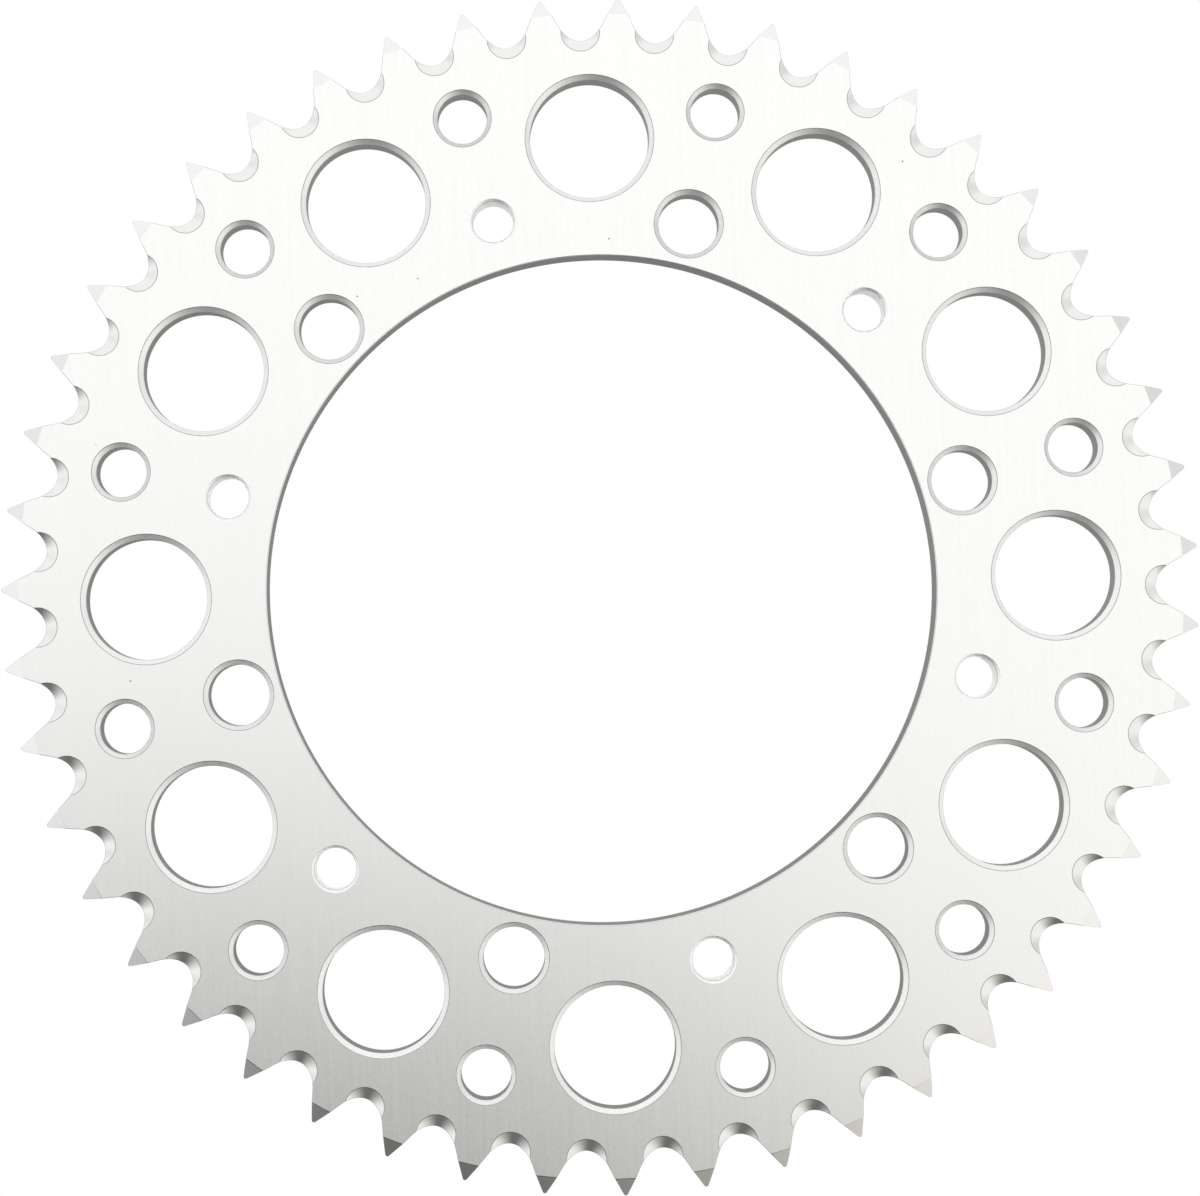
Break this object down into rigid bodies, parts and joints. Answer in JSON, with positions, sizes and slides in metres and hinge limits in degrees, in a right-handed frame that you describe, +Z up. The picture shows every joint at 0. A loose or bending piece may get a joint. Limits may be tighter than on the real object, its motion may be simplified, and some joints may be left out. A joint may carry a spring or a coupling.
{
  "type": "rear sprocket",
  "caption": "Flat one-piece motorcycle rear chain sprocket with pointed bevelled teeth, scooped roots, a wide hub bore, rings of bolt holes and chamfered lightening holes.",
  "frame": {"origin": "centre of the hub bore at mid-thickness, on the chain line", "axes": "+Z up, spin axis Y, front face towards -Y, large lightening holes centred on +X and +Z"},
  "size_m": [0.2451, 0.0058, 0.2451],
  "materials": {
    "aluminium_plate": "natural satin, fine rolled grain on the faces, bright machined chamfers"
  },
  "bodies": {
    "root": {"sprocket": "aluminium_plate"}
  },
  "joints": []
}
